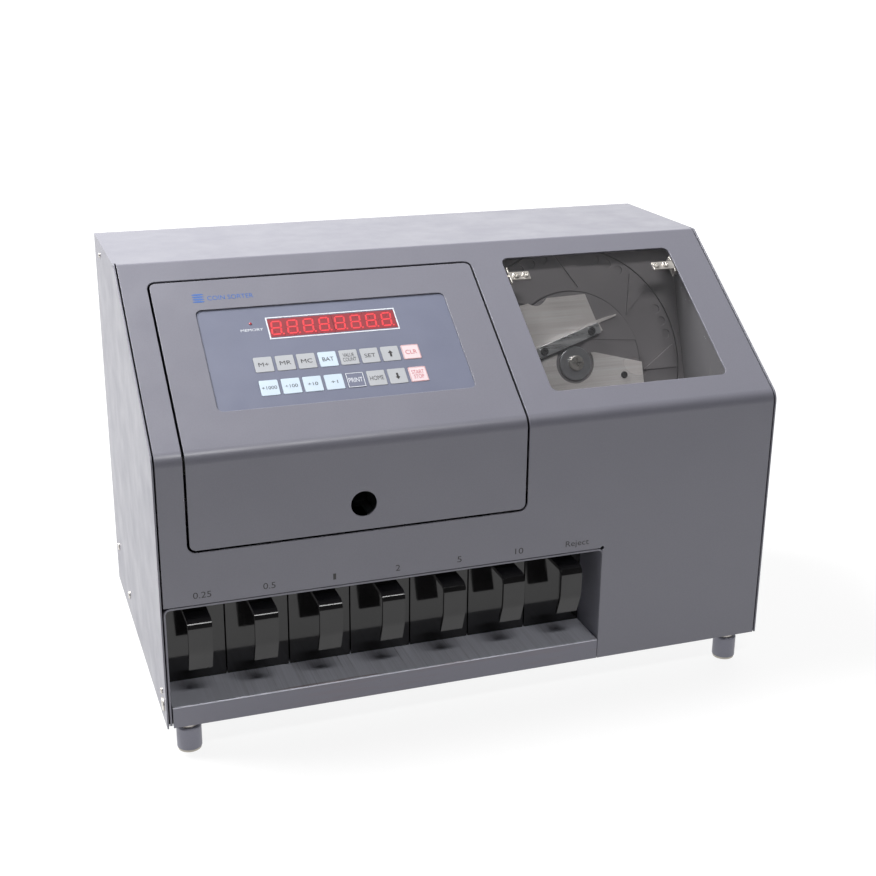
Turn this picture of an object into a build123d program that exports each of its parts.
from build123d import *
import os
from math import atan2, cos, degrees, radians, sin, tan

os.makedirs("parts", exist_ok=True)

# Coin sorting machine, in millimetres, +X to its right, +Y to its back, +Z up.
# It is built with Y = 0 on the case's front face and Z = 0 on the case's underside.
# save() moves each piece so that the origin is on the table, below the case's middle.

# ---- driving dimensions ----
CASE_W = 508.0
CASE_D = 284.0
CASE_H = 324.0
FRONT_H = 216.0          # height of the bend between front and slope
TOP_Y = 153.0            # where the slope meets the flat top
SHEET = 1.5              # steel sheet thickness
LOW_BEND_R = 12.0
TOP_BEND_R = 4.0
FOOT_H = 24.0

RECESS_X1 = 102.8        # right end of the cup recess
RECESS_TOP = 100.2
SHELF_Z = 17.3
CUP_COUNT = 7
CUP_PITCH = 50.45
FIRST_CUP_X = -225.2
CUP_W = 49.4
CUP_FRONT_Y = 40.0
CUP_LENGTH = 130.0

DOOR_X = (-229.9, 33.5)
DOOR_TOP_S = 165.0       # distances S are measured up the slope from the bend
DOOR_LOW_Z = 143.3
DOOR_GAP = 2.0
DOOR_CORNER_R = 5.0

WINDOW_X = (62.8, 219.0)
WINDOW_S = (25.5, 167.2)
LID_HINGE_S = 148.5
LID_HINGE_DROP = 3.0     # below the slope's outer face

PANEL_X = (-199.4, 2.5)  # membrane recess in the door
PANEL_S = (37.0, 135.2)
DISPLAY_X = (-146.0, -43.8)
DISPLAY_S = (103.6, 121.6)
KEY_X = (-157.2, -140.4, -123.8, -107.0, -90.3, -73.5, -56.8, -40.0)
KEY_ROWS_S = (77.8, 55.5)
KEY_SIDE = 14.3

DISC_CENTRE = (126.1, 119.5, 219.9)
DISC_R = 100.0
DISC_INNER_R = 63.0
DISC_TILT = 20.0         # the disc leans back from upright
RAIL_ANGLE = 16.9        # the rail falls towards the left

# ---- the two slanted work planes ----
SLOPE_ANGLE = degrees(atan2(CASE_H - FRONT_H, TOP_Y))
SLOPE = Plane(origin=(0, 0, FRONT_H), x_dir=(1, 0, 0),
              z_dir=(0, -sin(radians(SLOPE_ANGLE)), cos(radians(SLOPE_ANGLE))))
DISC = Plane(origin=DISC_CENTRE, x_dir=(1, 0, 0),
             z_dir=(0, -cos(radians(DISC_TILT)), sin(radians(DISC_TILT))))
PLATE_SHIFT = (1.9, 1.4)  # origin of the fixed plates' outlines, from the disc's centre
PLATES = DISC * Pos(*PLATE_SHIFT, 0)
RAIL = PLATES * Pos(26.3, 33.2, 0) * Rot(0, 0, RAIL_ANGLE)


def save(node, shape):
    """Write one node, moved to the part's own frame."""
    placed = Pos(0, -CASE_D / 2, FOOT_H) * shape
    placed.label = node
    export_step(placed, f"parts/{node}.step")


def block(x, y, z):
    """A box from three (low, high) ranges."""
    size = [pair[1] - pair[0] for pair in (x, y, z)]
    middle = [(pair[0] + pair[1]) / 2 for pair in (x, y, z)]
    return Pos(*middle) * Box(*size)


def on_slope(x, s, h):
    """A box on the slope: h is measured outward from its outer face."""
    return SLOPE * block(x, s, h)


def on_disc(u, v, n):
    """A box on the disc's plane: n is measured towards the front."""
    return DISC * block(u, v, n)


def rod(place, radius, low, high):
    """A cylinder along the local Z axis of a place, from low to high."""
    return place * Pos(0, 0, (low + high) / 2) * Cylinder(radius, high - low)


def slope_point(s, h):
    """(Y, Z) of a point on the slope."""
    turn = radians(SLOPE_ANGLE)
    return (s * cos(turn) - h * sin(turn), FRONT_H + s * sin(turn) + h * cos(turn))


def disc_point(v, n):
    """(Y, Z) of a point on the disc's plane."""
    turn = radians(DISC_TILT)
    return (DISC_CENTRE[1] + v * sin(turn) - n * cos(turn),
            DISC_CENTRE[2] + v * cos(turn) + n * sin(turn))


def side_plate(points, x):
    """A plate with a (Y, Z) outline, between two X values."""
    face = make_face(Plane.YZ * Polyline(*points, close=True))
    return Pos(x[0], 0, 0) * extrude(face, x[1] - x[0], dir=(1, 0, 0))


def flat_plate(place, points, n):
    face = make_face(Polyline(*points, close=True))
    return place * Pos(0, 0, n[0]) * extrude(face, n[1] - n[0])


def fuse(solids):
    """One shape from a list of solids."""
    total = solids[0]
    for solid in solids[1:]:
        total += solid
    return total


def group(solids):
    """Separate solids kept in one node."""
    return Compound(children=list(solids))


# ---- case ----

def case_profile(inset, back, bottom):
    """The case's side outline, a given distance inside its outer face."""
    low_turn = radians(90 - SLOPE_ANGLE)
    low = (inset, FRONT_H - inset * tan(low_turn / 2))
    top = (TOP_Y + inset * tan(radians(SLOPE_ANGLE) / 2), CASE_H - inset)
    points = [(inset, bottom), low, top, (back, CASE_H - inset), (back, bottom)]
    face = make_face(Plane.YZ * Polyline(*points, close=True))
    for point, radius in ((low, LOW_BEND_R), (top, TOP_BEND_R)):
        corner = face.vertices().sort_by_distance((0, *point))[0]
        face = fillet(corner, max(radius - inset, 1.0))
    return face


def shell(x):
    """The folded sheet between two X values, open at the back and below."""
    outer = extrude(case_profile(0, CASE_D, 0), x[1] - x[0], dir=(1, 0, 0))
    inner = extrude(case_profile(SHEET, CASE_D + 5, -5), x[1] - x[0] + 2, dir=(1, 0, 0))
    return Pos(x[0], 0, 0) * (outer - Pos(-1, 0, 0) * inner)


def rounded_prism(x, y, depth, radius, ends):
    """A prism whose corners are round at the low or the high end of Y."""
    wide = [x[0], x[1]]
    face = make_face(Polyline((wide[0], y[0]), (wide[1], y[0]), (wide[1], y[1]), (wide[0], y[1]), close=True))
    corners = face.vertices().group_by(Axis.Y)
    chosen = list(corners[0]) if ends == "low" else list(corners[-1])
    if ends == "both":
        chosen = list(face.vertices())
    face = fillet(chosen, radius)
    return Pos(0, 0, depth[0]) * extrude(face, depth[1] - depth[0])


FRONT = Plane(origin=(0, 0, 0), x_dir=(1, 0, 0), z_dir=(0, -1, 0))
BEND_REACH = 14.0        # how far the two door prisms run past the bend


def door_outline(grow):
    """Everything inside the door's outline, grown by a gap all round."""
    x = (DOOR_X[0] - grow, DOOR_X[1] + grow)
    corner = DOOR_CORNER_R + grow
    front = FRONT * rounded_prism(x, (DOOR_LOW_Z - grow, FRONT_H), (-BEND_REACH, 3), corner, "low")
    slope = SLOPE * rounded_prism(x, (0, DOOR_TOP_S + grow), (-BEND_REACH, 3), corner, "high")
    bend = block(x, (-1, BEND_REACH), (FRONT_H - BEND_REACH, FRONT_H + BEND_REACH / 2))
    return front + slope + bend


SIDE_T = 1.2
SIDE_GAP = 0.15          # seam under the cover's top flange
FRONT_SEAM = 1.3         # open seam beside the cover's front and slope
FLANGE = SHEET + 2.0
TOP_EDGE_Y = TOP_Y + 5   # behind this the cover's top reaches over the side panels


def cover_sheet():
    sheet = shell((-CASE_W / 2, CASE_W / 2))
    for side in (-1, 1):
        seam = sorted((side * (CASE_W / 2 + 1), side * (CASE_W / 2 - SIDE_T - FRONT_SEAM)))
        sheet -= block(seam, (-1, TOP_EDGE_Y), (-1, CASE_H + 1))
        edge = sorted((side * CASE_W / 2, side * (CASE_W / 2 - SHEET)))
        sheet += block(edge, (TOP_EDGE_Y + 2, CASE_D), (CASE_H - FLANGE, CASE_H - SHEET / 2))
    sheet -= door_outline(DOOR_GAP)
    sheet -= SLOPE * rounded_prism(WINDOW_X, WINDOW_S, (-6, 6), 6.0, "both")
    sheet -= block((-CASE_W / 2 - 1, RECESS_X1), (-1, 5), (-1, RECESS_TOP))
    sheet -= Pos(RECESS_X1, 0, RECESS_TOP) * Rot(90, 0, 0) * Cylinder(1.5, 8)
    return sheet


def side_panel(side):
    panel = extrude(case_profile(0, CASE_D, 0), SIDE_T, dir=(1, 0, 0))
    under_flange = (CASE_H - FLANGE - SIDE_GAP, CASE_H + 1)
    panel -= block((-1, SIDE_T + 1), (TOP_EDGE_Y - SIDE_GAP, CASE_D + 1), under_flange)
    return Pos(-CASE_W / 2 if side < 0 else CASE_W / 2 - SIDE_T, 0, 0) * panel


BASE_T = 2.0


def base_plate():
    inner = CASE_W / 2 - SHEET - SIDE_GAP
    plate = block((-inner, inner), (SHEET + 0.2, CASE_D - 4), (0, BASE_T))
    plate -= block((-inner - 1, RECESS_X1 + 1), (0, 4), (-1, BASE_T + 1))
    return plate


INLET_X = -190.0
INLET_Z = 42.0
INLET_W = 27.0
INLET_H = 19.5
ROCKER_X = -150.0
ROCKER_W = 12.6
ROCKER_H = 19.0
BACK_T = 1.5
BACK_Y = CASE_D - 2.5    # outer face of the back panel


def back_panel():
    inner = CASE_W / 2 - SHEET - SIDE_GAP
    panel = block((-inner, inner), (BACK_Y - BACK_T, BACK_Y), (BASE_T + 0.1, CASE_H - SHEET - 0.1))
    deep = (BACK_Y - 4, BACK_Y + 2)
    panel -= block((INLET_X - INLET_W / 2, INLET_X + INLET_W / 2), deep,
                   (INLET_Z - INLET_H / 2, INLET_Z + INLET_H / 2))
    panel -= block((ROCKER_X - ROCKER_W / 2 - 1, ROCKER_X + ROCKER_W / 2 + 1), deep,
                   (INLET_Z - ROCKER_H / 2 - 1, INLET_Z + ROCKER_H / 2 + 1))
    slot_face = SlotOverall(52, 4)
    slots = []
    for column_x in (-150, -90, 90, 150):
        for row in range(7):
            place = Pos(column_x, BACK_Y - 3, 200 + 11 * row) * Rot(-90, 0, 0)
            slots.append(place * extrude(slot_face, 6))
    return panel - slots


def drawer_shelf():
    """Brushed steel shelf under the cups, folded down at its front."""
    x = (-249.2, RECESS_X1 - 0.6)
    shelf = block(x, (0, CUP_FRONT_Y + CUP_LENGTH + 6), (SHELF_Z - 1.2, SHELF_Z))
    shelf += block(x, (0, 1.2), (0, SHELF_Z))
    return fillet(shelf.edges().filter_by(Axis.X).sort_by_distance((0, 0, SHELF_Z))[0], 0.8)


SURROUND_T = 1.4


def recess_surround():
    """Folded channel over the cups: left wall, ceiling with coin slots, right wall."""
    x = (-251.6, RECESS_X1 + SURROUND_T - 0.2)
    y = (0.4, CUP_FRONT_Y + CUP_LENGTH + 6)
    outer = FRONT * rounded_prism(x, (BASE_T, RECESS_TOP - 0.9), (-y[1], -y[0]), 5.0, "high")
    inner = FRONT * rounded_prism((x[0] + SURROUND_T, x[1] - SURROUND_T), (-1, RECESS_TOP - 0.9 - SURROUND_T),
                                  (-y[1] - 1, 1), 5.0 - SURROUND_T, "high")
    channel = outer - inner - block((RECESS_X1 - 0.1, x[1] + 1), (-1, SHEET + 0.1), (0, RECESS_TOP))
    for cup in range(CUP_COUNT):
        middle = FIRST_CUP_X + CUP_PITCH * cup
        channel -= block((middle - 17, middle + 17), (60, 150), (RECESS_TOP - 6, RECESS_TOP))
    return channel


# ---- coin disc and hopper ----

SHAFT_R = 6.0
DISC_T = 8.0
WEDGE_H = 1.5
POCKETS = 8
POCKET_STEP = 360 / POCKETS
FIRST_WEDGE = -9.7       # angle of the first wedge's tip
DIMPLE_R = 3.95
DIMPLE_CIRCLE = 93.1
FIRST_DIMPLE = 18.9
DIMPLE_STEP = 7.3


def polar(radius, angle):
    return (radius * cos(radians(angle)), radius * sin(radians(angle)))


def coin_disc():
    """Carrier disc: a ring of wedges and dimples round a sunk middle, on its shaft."""
    disc = rod(DISC, DISC_R, -DISC_T, 0)
    disc -= rod(DISC, DISC_INNER_R, -3, 1)
    disc += rod(DISC, 12.0, -DISC_T, 2.4)
    disc += rod(DISC, SHAFT_R, -30, -DISC_T)
    wedges = []
    dimples = []
    for pocket in range(POCKETS):
        tip = FIRST_WEDGE + POCKET_STEP * pocket
        outline = [polar(66.4, tip), polar(98.0, tip + 3.2), polar(96.0, tip + 15.0)]
        wedges.append(flat_plate(DISC, outline, (-0.5, WEDGE_H)))
        for step in (-1, 0, 1):
            place = polar(DIMPLE_CIRCLE, FIRST_DIMPLE + POCKET_STEP * pocket + DIMPLE_STEP * step)
            dimples.append(rod(DISC * Pos(*place, 0), DIMPLE_R, -1.2, 1))
    return disc + wedges - dimples - rod(DISC, 3.0, -7, 3)


HUB_R = 14.6


def hub_washer():
    washer = rod(DISC, HUB_R, 2.4, 4.6)
    washer = fillet(washer.edges().sort_by_distance(DISC.from_local_coords((0, 0, 4.6)))[0], 0.8)
    return washer - rod(DISC, 3.0, 2, 5)


def cross_head(place, radius, height):
    """A domed head with a cross recess, standing on its place's XY plane."""
    head = Pos(0, 0, height / 2) * Cylinder(radius, height)
    head = fillet(head.edges().sort_by(Axis.Z)[-1], height * 0.45)
    slot = radius * 1.1
    for size in ((slot, radius * 0.24), (radius * 0.24, slot)):
        head -= Pos(0, 0, height) * Box(size[0], size[1], height)
    return place * head


def hub_screw():
    head = cross_head(DISC * Pos(0, 0, 4.6), 6.8, 2.6)
    return head + rod(DISC, 2.9, -6, 4.8)


BOWL_U = (-102.1, 104.9)
BOWL_V = (-100.4, 98.9)
BOWL_BACK = -13.5
FLOOR_T = 1.6


def hopper_bowl():
    """Plate flush with the disc's face, a ring round the disc and a plate behind it."""
    bowl = on_disc(BOWL_U, BOWL_V, (-2, 0))
    bowl += rod(DISC, DISC_R + 3.5, BOWL_BACK, -1)
    bowl -= rod(DISC, DISC_R + 1.2, -12, 1)
    bowl -= rod(DISC, SHAFT_R + 2, -20, 1)
    for beyond in ((BOWL_V[1], 120), (-120, BOWL_V[0])):
        bowl -= on_disc((-120, 120), beyond, (-20, 5))
    return bowl


def hopper_walls():
    """Right wall, left wall, sloping floor in front of the disc and a ledge under the lid's edge."""
    wall = 1.5
    right_x = DISC_CENTRE[0] + BOWL_U[1] + 0.1
    left_x = 40.0
    front_low = (5.0, 170.0)
    front_high = (5.0, 208.0)
    bottom = BOWL_V[0]
    in_floor = (front_low[0], front_low[1] - wall / 2)
    right = [disc_point(98.4, -2), disc_point(bottom - FLOOR_T, -2), disc_point(bottom - FLOOR_T, 1),
             in_floor, front_high, slope_point(6, -6), slope_point(160, -6)]
    left = [disc_point(bottom - 0.2, 4), in_floor, front_high, slope_point(6, -6), slope_point(118, -8),
            disc_point(61.4, 16), disc_point(-12.6, 16), disc_point(-12.6, 4)]
    floor = [disc_point(bottom, 0.2), front_low, (front_low[0], front_low[1] - wall),
             disc_point(bottom - FLOOR_T, 0.2)]
    ledge = on_slope((left_x, right_x + wall), (12, WINDOW_S[0] + 3), (-8.2, -4.3))
    return fuse([side_plate(right, (right_x, right_x + wall)), side_plate(left, (left_x, left_x + wall)),
                 side_plate(floor, (left_x, right_x + 0.5)), ledge])


def centre_plate():
    """Fixed dark plate in the disc's sunk middle."""
    plate = rod(DISC, DISC_INNER_R - 1.0, -1, 2)
    plate -= rod(DISC, 13.5, -2, 3)
    step = flat_plate(PLATES, [(5, 19.2), (70, 13), (70, -15), (5, -15)], (1.5, 3))
    return plate - step


PLATE_N = (2.0, 3.5)     # the stainless plates' distance in front of the disc
TRACK_END_U = -365.0
RAIL_W = 9.2
RAIL_END = -4.5
RAIL_STEP = -20.0        # right of this the rail is thinner
RAIL_SCREWS_A = (-62.0, -13.2, -160, -260, -370)


def rail_v(u):
    """Height of the rail's top edge on the disc's plane."""
    return 15.2 + tan(radians(RAIL_ANGLE)) * (u + 33.2)


def track_plate():
    """Stainless track behind the rail, with one opening over each coin cup."""
    low_left = rail_v(TRACK_END_U)
    outline = [(27.3, 24.7), (24.3, 31.4), (41.2, 36.4), (41.6, 38.0), (21.8, 34.0), (13.9, 57.5),
               (-23, 56.3), (-46, 51.8), (-88, 34), (TRACK_END_U, low_left + 34),
               (TRACK_END_U, low_left - 9.4)]
    plate = flat_plate(PLATES, outline, PLATE_N)
    plate -= rod(PLATES * Pos(-32.3, 62.0, 0), 11.6, 1, 5)
    for a in RAIL_SCREWS_A:
        plate -= rod(RAIL * Pos(a, -RAIL_W / 2, 0), 1.6, 1, 5)
    for cup in range(CUP_COUNT - 1):
        u = FIRST_CUP_X + CUP_PITCH * cup - DISC_CENTRE[0] - PLATE_SHIFT[0]
        height = 17.0 + 1.9 * cup
        place = PLATES * Pos(u, rail_v(u), 0) * Rot(0, 0, RAIL_ANGLE)
        plate -= place * block((-16, 16), (1.5, 1.5 + height), (1, 5))
    return plate


def lower_plate():
    """Stainless plate over the disc's middle, cut out round the hub."""
    outline = [(-86.3, -12.6), (-20, 7.6), (0, 7.6), (18.1, 6.4), (61.5, -5.4), (61.5, -46), (-86.3, -46)]
    return flat_plate(PLATES, outline, PLATE_N) - rod(DISC, 17.5, 1, 5)


def guide_rail():
    """Aluminium rail that coins roll along, thinner at its right end."""
    left = TRACK_END_U / cos(radians(RAIL_ANGLE)) - 20
    rail = RAIL * block((left, RAIL_STEP), (-RAIL_W, 0), (PLATE_N[1], 8.5))
    rail += RAIL * block((RAIL_STEP - 1, RAIL_END), (-RAIL_W, 0), (PLATE_N[1], 6.2))
    rail = fillet(rail.edges().filter_by(Axis((0, 0, 0), DISC.z_dir)), 0.6)
    for a in RAIL_SCREWS_A:
        rail -= rod(RAIL * Pos(a, -RAIL_W / 2, 0), 1.6, 0, 10)
    return rail


def plate_screws():
    """Cap screws on the rail and small screws on the lower plate, as separate solids."""
    screws = []
    for a in RAIL_SCREWS_A:
        top = 6.2 if a > RAIL_STEP else 8.5
        place = RAIL * Pos(a, -RAIL_W / 2, 0)
        hexagon = extrude(place * Pos(0, 0, top + 1.0) * RegularPolygon(1.5, 6), 3)
        head = rod(place, 3.2, top, top + 2.2) - hexagon
        screws.append(head + rod(place, 1.5, PLATE_N[0], top))
    for u, v in ((43.2, -15.3), (-58, -30), (30, -38)):
        screws.append(cross_head(PLATES * Pos(u, v, PLATE_N[1]), 3.0, 1.4))
    return group(screws)


def coin_sensor():
    """Sensor head over the track, to the left of the hopper."""
    body = RAIL * block((-150, -118), (6, 32), (8, 22))
    body += RAIL * block((-138, -130), (30, 38), (PLATE_N[1], 20))
    return body


def chute_block():
    """Partitions that lead each coin from the track down to its cup."""
    plates = []
    for wall in range(CUP_COUNT + 1):
        x = FIRST_CUP_X + CUP_PITCH * (wall - 0.5)
        low, high = (46, RECESS_TOP + 0.3), (160, RECESS_TOP + 0.3)
        if x > 20:
            points = [low, high, (160, 112), (46, 122)]
        else:
            v = rail_v(x - DISC_CENTRE[0] - PLATE_SHIFT[0]) + PLATE_SHIFT[1] - 12
            points = [low, high, (160, 128), disc_point(v + 36, -4), disc_point(v, -4), (46, 110)]
        plates.append(side_plate(points, (x - 0.6, x + 0.6)))
    span = (FIRST_CUP_X - CUP_PITCH / 2, FIRST_CUP_X + CUP_PITCH * (CUP_COUNT - 0.5))
    plates.append(block(span, (158.8, 160), (RECESS_TOP + 0.3, 110)))
    plates.append(block(span, (46, 47.2), (RECESS_TOP + 0.3, 108)))
    return fuse(plates)


def disc_motor():
    """Gear motor bolted behind the disc."""
    motor = rod(DISC, 30, BOWL_BACK - 26, BOWL_BACK)
    motor += rod(DISC, 21, BOWL_BACK - 76, BOWL_BACK - 26)
    motor += on_disc((-34, 34), (-34, 34), (BOWL_BACK - 3, BOWL_BACK))
    return motor - rod(DISC, SHAFT_R + 0.06, -32, 0)


# ---- electrics ----

def main_board():
    """Control board on four posts, with its larger components."""
    z = 14.0
    board = block((-95, 60), (184, 268), (z, z + 1.6))
    for x in (-90, 55):
        for y in (189, 263):
            board += rod(Pos(x, y, 0), 3, BASE_T, z)
    top = z + 1.6
    for x, y, dx, dy, h in ((-60, 205, 30, 30, 4), (-10, 200, 22, 12, 9), (30, 200, 18, 18, 12),
                            (-70, 250, 36, 9, 10), (-20, 252, 36, 9, 10), (35, 245, 24, 16, 14)):
        board += block((x - dx / 2, x + dx / 2), (y - dy / 2, y + dy / 2), (top - 0.1, top + h))
    return board


def power_supply():
    box = block((-228, -118), (192, 262), (BASE_T, 22))
    box += block((-228, -118), (192, 262), (BASE_T, BASE_T + 24))
    for row in range(9):
        x = -216 + 11 * row
        box -= block((x, x + 5), (200, 254), (24, 30))
    return box


def power_inlet():
    """Three-pin appliance inlet: flange, body and earthed socket."""
    flange = block((INLET_X - 24, INLET_X + 24), (BACK_Y, BACK_Y + 2.0), (INLET_Z - 13, INLET_Z + 13))
    body = block((INLET_X - INLET_W / 2 + 0.2, INLET_X + INLET_W / 2 - 0.2), (BACK_Y - 17, BACK_Y + 1),
                 (INLET_Z - INLET_H / 2 + 0.2, INLET_Z + INLET_H / 2 - 0.2))
    socket = block((INLET_X - 12, INLET_X + 12), (BACK_Y - 15, BACK_Y + 3), (INLET_Z - 8.2, INLET_Z + 8.2))
    inlet = flange + body - socket
    for x, z in ((-7, -2), (7, -2), (0, 2)):
        pin = Pos(INLET_X + x, 0, INLET_Z + z) * block((-1, 1), (BACK_Y - 16, BACK_Y - 2), (-2, 2))
        inlet += pin
    for x in (-20, 20):
        inlet -= Pos(INLET_X + x, BACK_Y, INLET_Z) * Rot(90, 0, 0) * Cylinder(1.7, 10)
    return inlet


ROCKER_AXIS_Y = BACK_Y - 4.0
ROCKER_TILT = 8.0


def power_switch():
    """Rocker, drawn with its lower end pressed in."""
    tilt = Pos(ROCKER_X, ROCKER_AXIS_Y, INLET_Z) * Rot(-ROCKER_TILT, 0, 0)
    body = Rot(0, 90, 0) * Cylinder(4.0, ROCKER_W - 0.6)
    body += block((-ROCKER_W / 2 + 0.3, ROCKER_W / 2 - 0.3), (0, 5.4), (-8.2, 8.2))
    return tilt * body


# (Y, Z, radius) of the screws in each side panel
SIDE_SCREWS = ((14.5, 14.0, 5.4), (17.5, 24.0, 2.4), (246, 312.4, 2.0), (200, 20, 3.4), (262, 40, 3.4))


def case_fasteners():
    """Side screws, back screws and the bright washers over the feet."""
    items = []
    for side in (-1, 1):
        face_x = side * CASE_W / 2
        for y, z, radius in SIDE_SCREWS:
            plane = Plane(origin=(face_x, y, z), x_dir=(0, 1, 0), z_dir=(side, 0, 0))
            items.append(cross_head(plane, radius, 1.2))
    for x in (-240, 0, 240):
        for z in (14, 308):
            plane = Plane(origin=(x, BACK_Y, z), x_dir=(1, 0, 0), z_dir=(0, 1, 0))
            items.append(cross_head(plane, 3.2, 1.4))
    for x in (-20, 20):
        plane = Plane(origin=(INLET_X + x, BACK_Y + 2, INLET_Z), x_dir=(1, 0, 0), z_dir=(0, 1, 0))
        items.append(cross_head(plane, 2.8, 0.45))
    for x, y in FOOT_PLACES:
        items.append(rod(Pos(x, y, 0), 7.0, -WASHER_T, 0))
    return group(items)


FOOT_PLACES = [(x, y) for x in (-236.5, 230.5) for y in (10.5, 268)]
WASHER_T = 4.0
PAD_T = 2.0
FOOT_R = 9.6


def feet():
    posts = []
    for x, y in FOOT_PLACES:
        post = rod(Pos(x, y, 0), FOOT_R, -FOOT_H + PAD_T, -WASHER_T)
        posts.append(fillet(post.edges().sort_by(Axis.Z)[-1], 1.2))
    return group(posts)


def foot_pads():
    return group([rod(Pos(x, y, 0), FOOT_R - 0.6, -FOOT_H, -FOOT_H + PAD_T) for x, y in FOOT_PLACES])


# ---- lid over the hopper ----

LID_H = (-4.0, -1.0)     # the acrylic's lower and upper face, from the slope's face
LID_GAP = 1.0
PIVOT_R = 1.5
PIVOT_CLEAR = 0.06
TAB_S = (LID_HINGE_S - 8.5, LID_HINGE_S + 8.5)
BRACKETS = ((64.4, 82.6, 64.4), (197.6, 217.4, 216.4))   # plate from, plate to, tab from
PLATE_LOW = -5.5         # the bracket plates' edges, from the hinge line
PLATE_HIGH = 2.7
LID_FINGER = (142.9, 44.3)


def lid_window():
    x = (WINDOW_X[0] + LID_GAP, WINDOW_X[1] - LID_GAP)
    s = (WINDOW_S[0] + LID_GAP, WINDOW_S[1] - LID_GAP)
    lid = SLOPE * rounded_prism(x, s, LID_H, 5.0, "both")
    lid -= rod(SLOPE * Pos(*LID_FINGER, 0), 10.4, -6, 2)
    for tab in (BRACKETS[0][2], BRACKETS[1][2]):
        lid -= on_slope((tab - 1.0, tab + 2.0), (TAB_S[0] - 1, TAB_S[1] + 1), (-8, 4))
    return lid


def lid_brackets():
    """Two bent plates: each lies on the lid and turns down beside it round a pivot."""
    parts = []
    for low, high, tab in BRACKETS:
        inward = (low, high)
        across = (LID_HINGE_S + PLATE_LOW, LID_HINGE_S + PLATE_HIGH)
        plate = on_slope(inward, across, (LID_H[1], LID_H[1] + 1.0))
        side = on_slope((tab, tab + 1.0), TAB_S, (-7.0, LID_H[1] + 1.0))
        bracket = plate + side
        bracket -= rod(PIVOT * Pos(0, 0, tab), PIVOT_R + PIVOT_CLEAR, -2, 3)
        parts.append(bracket)
    return group(parts)


PIVOT = Plane(origin=(0, *slope_point(LID_HINGE_S, -LID_HINGE_DROP)), x_dir=(0, 1, 0), z_dir=(1, 0, 0))


def lid_screws():
    screws = []
    for x in (70.4, 78.8, 200.4, 209.6):
        screws.append(cross_head(SLOPE * Pos(x, LID_HINGE_S - 0.9, LID_H[1] + 1.0), 2.9, 1.3))
    return group(screws)


def lid_pivots():
    """Ears under the cover that carry the lid's pivot pins."""
    parts = []
    for tab, ear in ((BRACKETS[0][2], (60.0, 62.0)), (BRACKETS[1][2], (219.8, 221.8))):
        plate = on_slope(ear, (LID_HINGE_S - 6, LID_HINGE_S + 6), (-8, -SHEET))
        pin_low = ear[0] if ear[0] < tab else tab - 0.8
        pin_high = tab + 1.7 if ear[0] < tab else ear[1]
        parts.append(plate + rod(PIVOT, PIVOT_R, pin_low, pin_high))
    return group(parts)


# ---- door with keypad and display ----

HINGE_S = 156.6
HINGE_DROP = 5.0
HINGE_ROD_R = 2.0
HINGE_CLEAR = 0.05
HINGE = Plane(origin=(0, *slope_point(HINGE_S, -HINGE_DROP)), x_dir=(0, 1, 0), z_dir=(1, 0, 0))
ARM_X = (-214.0, 19.0)
KNUCKLE_X = (-205.0, 6.0)
DOOR_FINGER = (-98.0, 164.2)
PAD_TOP = -1.0           # face of the keypad film, below the door's face
PAD_BACK = -3.0
KEY_CLEAR = 0.2
KEY_TOP = -0.8
KEY_T = 1.1
KEY_FLOOR = -2.6


def door_panel():
    """Folded door with its keypad opening, finger hole and two welded hinge knuckles."""
    sheet = shell((DOOR_X[0], DOOR_X[1])) & door_outline(0)
    sheet -= SLOPE * rounded_prism(PANEL_X, PANEL_S, (-4, 4), 5.0, "both")
    sheet -= FRONT * Pos(*DOOR_FINGER, 0) * Cylinder(10.15, 12)
    for x in KNUCKLE_X:
        knuckle = on_slope((x, x + 10), (HINGE_S - 5, HINGE_S + 3.5), (-HINGE_DROP - 3, -SHEET + 0.3))
        sheet += knuckle - rod(HINGE, HINGE_ROD_R + HINGE_CLEAR, x - 1, x + 11)
    return sheet


def hinge_arms():
    """Goose-neck arms under the cover, and the rod that they hold."""
    arms = rod(HINGE, HINGE_ROD_R, ARM_X[0] - 1, ARM_X[1] + 4)
    low = -HINGE_DROP - 15.0
    for x in ARM_X:
        reach = (x, x + 2.5)
        arms += on_slope(reach, (HINGE_S - 2.2, HINGE_S + 2.2), (low, -HINGE_DROP + 2.2))
        arms += on_slope(reach, (HINGE_S - 2.2, HINGE_S + 24), (low, low + 3))
        arms += on_slope(reach, (HINGE_S + 16, HINGE_S + 24), (low, -SHEET))
    return arms


def key_places():
    return [(x, s) for s in KEY_ROWS_S for x in KEY_X]


def key_prism(x, s, grow, h):
    half = KEY_SIDE / 2 + grow
    return SLOPE * rounded_prism((x - half, x + half), (s - half, s + half), h, 0.9 + grow, "both")


def keypad_overlay():
    """Backing plate and film, with a pocket for each key and the display's window."""
    pad = SLOPE * rounded_prism((PANEL_X[0] - 5, PANEL_X[1] + 5), (PANEL_S[0] - 5, PANEL_S[1] + 5),
                                (PAD_BACK, -SHEET), 4.0, "both")
    pad += SLOPE * rounded_prism((PANEL_X[0] + 0.2, PANEL_X[1] - 0.2), (PANEL_S[0] + 0.2, PANEL_S[1] - 0.2),
                                 (-SHEET, PAD_TOP), 4.8, "both")
    for x, s in key_places():
        pad -= key_prism(x, s, KEY_CLEAR, (KEY_FLOOR, 0))
    display_x = (DISPLAY_X[0] - 0.1, DISPLAY_X[1] + 0.1)
    pad -= on_slope(display_x, (DISPLAY_S[0] - 0.1, DISPLAY_S[1] + 0.1), (-5, 0))
    return pad


def display_filter():
    return on_slope(DISPLAY_X, DISPLAY_S, (PAD_BACK, PAD_TOP + 0.05))


MODULE_W = 50.3
BOARD_H = (-14.6, -13.0)


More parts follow.
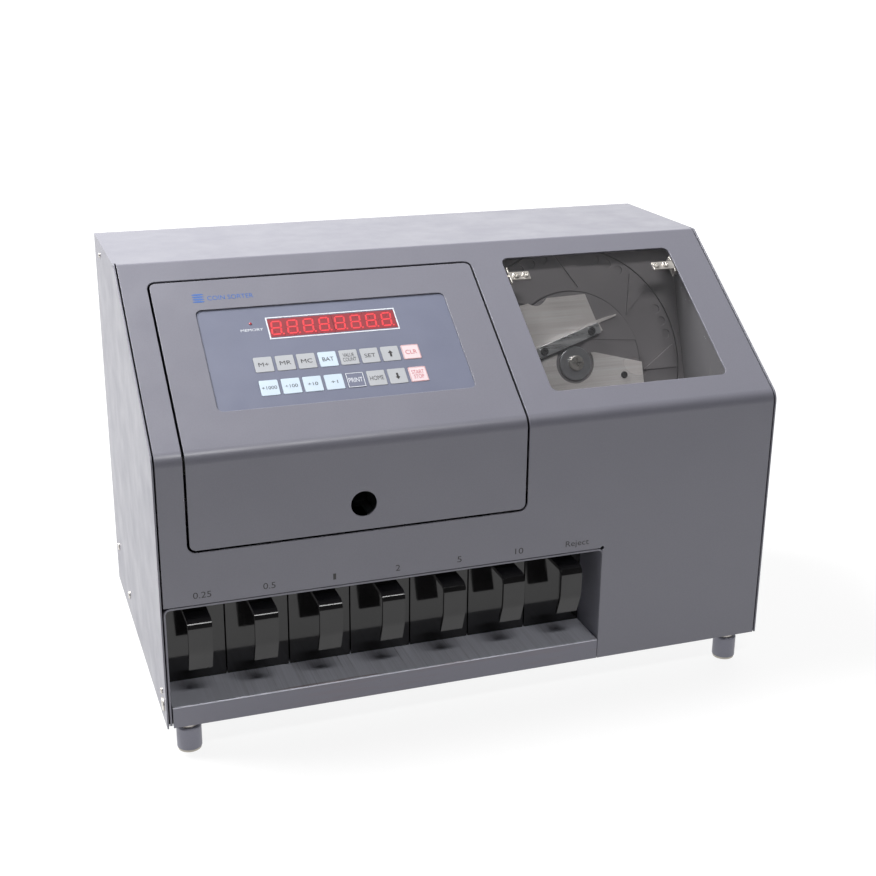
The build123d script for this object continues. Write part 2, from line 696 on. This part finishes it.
def digit_modules():
    """Two four-digit lamp modules behind the filter."""
    middle = sum(DISPLAY_X) / 2
    s = (DISPLAY_S[0] + 0.1, DISPLAY_S[1] - 0.1)
    return group([on_slope((middle - MODULE_W - 0.1, middle - 0.1), s, (BOARD_H[1], PAD_BACK - 0.2)),
                  on_slope((middle + 0.1, middle + MODULE_W + 0.1), s, (BOARD_H[1], PAD_BACK - 0.2))])


def display_board():
    board = on_slope((-192, -5), (45, 130), BOARD_H)
    for x in (-188, -9):
        for s in (49, 126):
            board += rod(SLOPE * Pos(x, s, 0), 2.5, BOARD_H[1], PAD_BACK)
    board += on_slope((-170, -130), (52, 64), (BOARD_H[0] - 6, BOARD_H[0]))
    return board


def key(x, s):
    return key_prism(x, s, 0, (KEY_TOP - KEY_T, KEY_TOP))


# ---- coin cups ----

CUP_TOP = 94.6
CUP_WALL = 2.0
HOOK_W = 18.3
HOOK_TOP = 85.0
HOOK_T = 3.0
HOOK_FRONT_Y = 1.5
HOOK_MIDDLE = (2.0, 60.0)  # (Y, Z) where the front leg starts to turn back
HOOK_LOW = (9.0, 41.8)     # (Y, Z) of the front leg's lower outer corner
HOOK_BEND_R = 7.0
HOOK_CURVE_R = 22.0


def hook_side(depth):
    """Side line of the handle, a given depth behind its outer face."""
    return [(CUP_FRONT_Y + 0.5, HOOK_TOP - depth), (HOOK_FRONT_Y + depth, HOOK_TOP - depth),
            (HOOK_MIDDLE[0] + depth, HOOK_MIDDLE[1]), (HOOK_LOW[0] + depth, HOOK_LOW[1])]


def cup(index):
    """Open box with a hook handle that comes out of its front and turns down."""
    middle = FIRST_CUP_X + CUP_PITCH * index
    x = (middle - CUP_W / 2, middle + CUP_W / 2)
    y = (CUP_FRONT_Y, CUP_FRONT_Y + CUP_LENGTH)
    z = (SHELF_Z + 0.2, CUP_TOP)
    body = block(x, y, z) - block((x[0] + CUP_WALL, x[1] - CUP_WALL), (y[0] + CUP_WALL, y[1] - CUP_WALL),
                                  (z[0] + CUP_WALL, z[1] + 1))
    outer = hook_side(0)
    inner = hook_side(HOOK_T)
    face = make_face(Plane.YZ * Polyline(*outer, *reversed(inner), close=True))
    for point, radius in ((outer[1], HOOK_BEND_R), (inner[1], HOOK_BEND_R - HOOK_T),
                          (outer[2], HOOK_CURVE_R), (inner[2], HOOK_CURVE_R - HOOK_T)):
        corner = face.vertices().sort_by_distance((0, *point))[0]
        face = fillet(corner, radius)
    hook = Pos(middle - HOOK_W / 2, 0, 0) * extrude(face, HOOK_W, dir=(1, 0, 0))
    return body + hook


# ---- write every node ----

save("cover_sheet", cover_sheet())
save("side_panel_left", side_panel(-1))
save("side_panel_right", side_panel(1))
save("base_plate", base_plate())
save("back_panel", back_panel())
save("drawer_shelf", drawer_shelf())
save("recess_surround", recess_surround())
save("coin_disc", coin_disc())
save("hub_washer", hub_washer())
save("hub_screw", hub_screw())
save("hopper_bowl", hopper_bowl())
save("hopper_walls", hopper_walls())
save("centre_plate", centre_plate())
save("track_plate", track_plate())
save("lower_plate", lower_plate())
save("guide_rail", guide_rail())
save("plate_screws", plate_screws())
save("coin_sensor", coin_sensor())
save("chute_block", chute_block())
save("disc_motor", disc_motor())
save("main_board", main_board())
save("power_supply", power_supply())
save("power_inlet", power_inlet())
save("power_switch", power_switch())
save("case_fasteners", case_fasteners())
save("feet", feet())
save("foot_pads", foot_pads())
save("lid_window", lid_window())
save("lid_brackets", lid_brackets())
save("lid_screws", lid_screws())
save("lid_pivots", lid_pivots())
save("door_panel", door_panel())
save("hinge_arms", hinge_arms())
save("keypad_overlay", keypad_overlay())
save("display_filter", display_filter())
save("digit_modules", digit_modules())
save("display_board", display_board())

KEY_NAMES = ["store", "recall", "total", "batch", "value", "set", "up", "clear",
             "plus_1000", "plus_100", "plus_10", "plus_1", "print", "home", "down", "start_stop"]
for name, (key_x, key_s) in zip(KEY_NAMES, key_places()):
    save(f"key_{name}", key(key_x, key_s))

for number in range(CUP_COUNT - 1):
    save(f"coin_cup_{number + 1}", cup(number))
save("reject_cup", cup(CUP_COUNT - 1))
